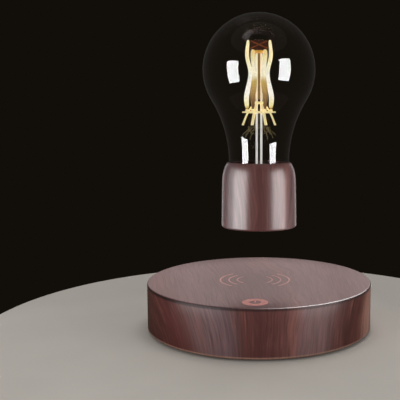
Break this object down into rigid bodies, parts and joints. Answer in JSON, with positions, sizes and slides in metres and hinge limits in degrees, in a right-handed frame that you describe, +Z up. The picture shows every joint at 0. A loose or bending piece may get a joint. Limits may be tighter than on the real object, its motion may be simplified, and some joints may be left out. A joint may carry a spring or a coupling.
{
  "type": "levitating lamp",
  "caption": "Round dark wood-look base that magnetically floats a small clear light bulb with hourglass filaments upright above it.",
  "frame": {"origin": "middle of the base on the plane of its feet", "axes": "+Z up along the axis of the base and the bulb, -Y to the front where the key is, +Y to the back where the power inlet is, +X to the right"},
  "size_m": [0.122, 0.122, 0.1692],
  "materials": {
    "dark_wood_film": "satin",
    "black_plastic": "matte",
    "grey_plastic": "matte",
    "black_rubber": "matte",
    "zinc_plated_steel": "satin",
    "green_circuit_board": "satin",
    "chip_plastic": "matte",
    "ferrite": "matte",
    "enamelled_copper": "satin",
    "aluminium_can": "satin",
    "nickel_plate": "polished",
    "clear_glass": "gloss",
    "phosphor_silicone": "satin",
    "gilt_steel": "polished",
    "coral_ink": "satin"
  },
  "bodies": {
    "base": {"base_shell": "dark_wood_film", "bottom_cover": "black_plastic", "rubber_foot_1": "black_rubber", "rubber_foot_2": "black_rubber", "rubber_foot_3": "black_rubber", "rubber_foot_4": "black_rubber", "bottom_screw_1": "zinc_plated_steel", "bottom_screw_2": "zinc_plated_steel", "bottom_screw_3": "zinc_plated_steel", "bottom_screw_4": "zinc_plated_steel", "main_board": "green_circuit_board", "control_chip": "chip_plastic", "coil_driver_chip_1": "chip_plastic", "coil_driver_chip_2": "chip_plastic", "power_inductor": "ferrite", "supply_capacitor": "aluminium_can", "power_jack": "black_plastic", "power_jack_pin": "zinc_plated_steel", "touch_spring": "zinc_plated_steel", "coil_frame": "grey_plastic", "ring_magnet": "ferrite", "transmitter_ferrite": "ferrite", "transmitter_coil": "enamelled_copper", "electromagnet_bobbin_1": "grey_plastic", "electromagnet_bobbin_2": "grey_plastic", "electromagnet_bobbin_3": "grey_plastic", "electromagnet_bobbin_4": "grey_plastic", "electromagnet_winding_1": "enamelled_copper", "electromagnet_winding_2": "enamelled_copper", "electromagnet_winding_3": "enamelled_copper", "electromagnet_winding_4": "enamelled_copper", "sensor_board": "green_circuit_board", "hall_sensor_x": "chip_plastic", "hall_sensor_y": "chip_plastic"},
    "lift_magnet": {"float_magnet": "nickel_plate"},
    "bulb": {"bulb_glass": "clear_glass", "cap_shell": "dark_wood_film", "cap_bottom_cover": "black_plastic", "magnet_holder": "grey_plastic", "receiver_coil": "enamelled_copper", "receiver_ferrite": "ferrite", "receiver_board": "green_circuit_board", "rectifier_chip": "chip_plastic", "led_driver_chip": "chip_plastic", "receiver_capacitor": "aluminium_can", "neck_collar": "grey_plastic", "stem_disc": "black_plastic", "support_rod_left": "nickel_plate", "support_rod_right": "nickel_plate", "filament_strand_1": "phosphor_silicone", "filament_strand_2": "phosphor_silicone", "filament_strand_3": "phosphor_silicone", "filament_strand_4": "phosphor_silicone", "filament_strand_5": "phosphor_silicone", "filament_strand_6": "phosphor_silicone", "filament_hub": "gilt_steel", "filament_brace": "enamelled_copper", "filament_spider": "gilt_steel"}
  },
  "joints": [
    {"name": "bulb_lift", "type": "slide", "parent": "base", "child": "lift_magnet", "axis": [0, 0, 1], "range_m": [-0.0289, 0.06], "stiffness_N_per_m": 30, "springref_m": 0.02877},
    {"name": "bulb_spin", "type": "hinge", "parent": "lift_magnet", "child": "bulb", "pos_m": [0, 0, 0.0552], "axis": [0, 0, 1], "continuous": true}
  ]
}
